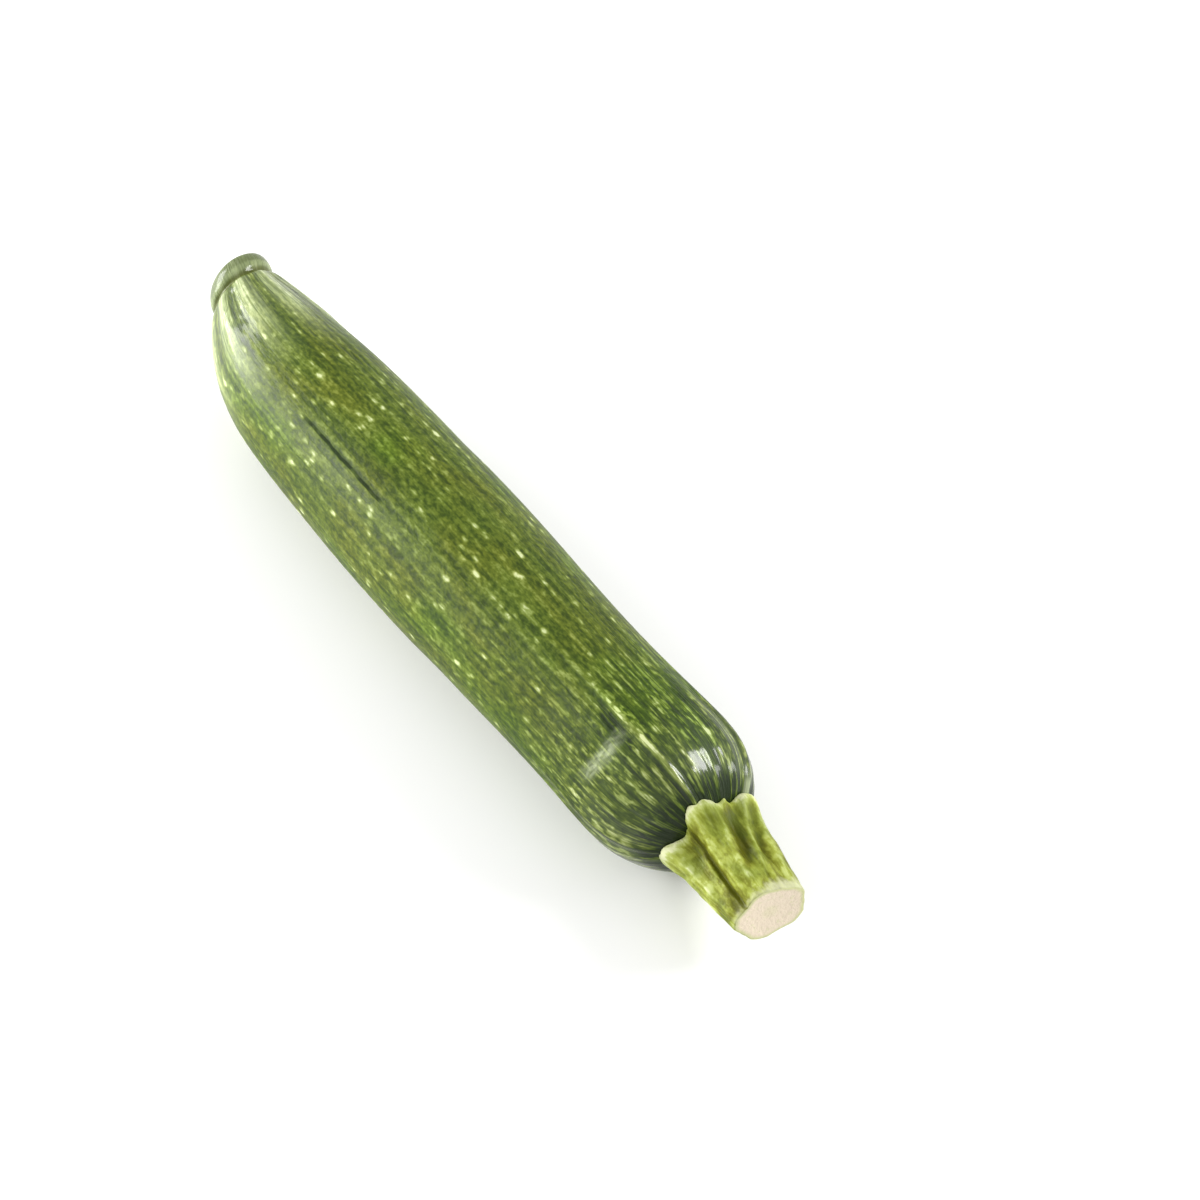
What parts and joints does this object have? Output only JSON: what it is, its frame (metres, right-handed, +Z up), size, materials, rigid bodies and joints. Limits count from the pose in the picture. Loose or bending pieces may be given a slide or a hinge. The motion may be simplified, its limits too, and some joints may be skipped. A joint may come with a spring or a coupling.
{
  "type": "zucchini",
  "caption": "Long green summer squash as picked, lying on its side, with a tapered blossom end and a short ribbed stub of stem with a cut face.",
  "frame": {"origin": "middle of the footprint, on the surface that the fruit lies on", "axes": "+X along the fruit towards the cut end of the stem, +Z up"},
  "size_m": [0.2238, 0.042, 0.0416],
  "materials": {
    "skin": "satin",
    "stem": "satin"
  },
  "bodies": {
    "root": {"fruit": "skin", "stem": "stem"}
  },
  "joints": []
}
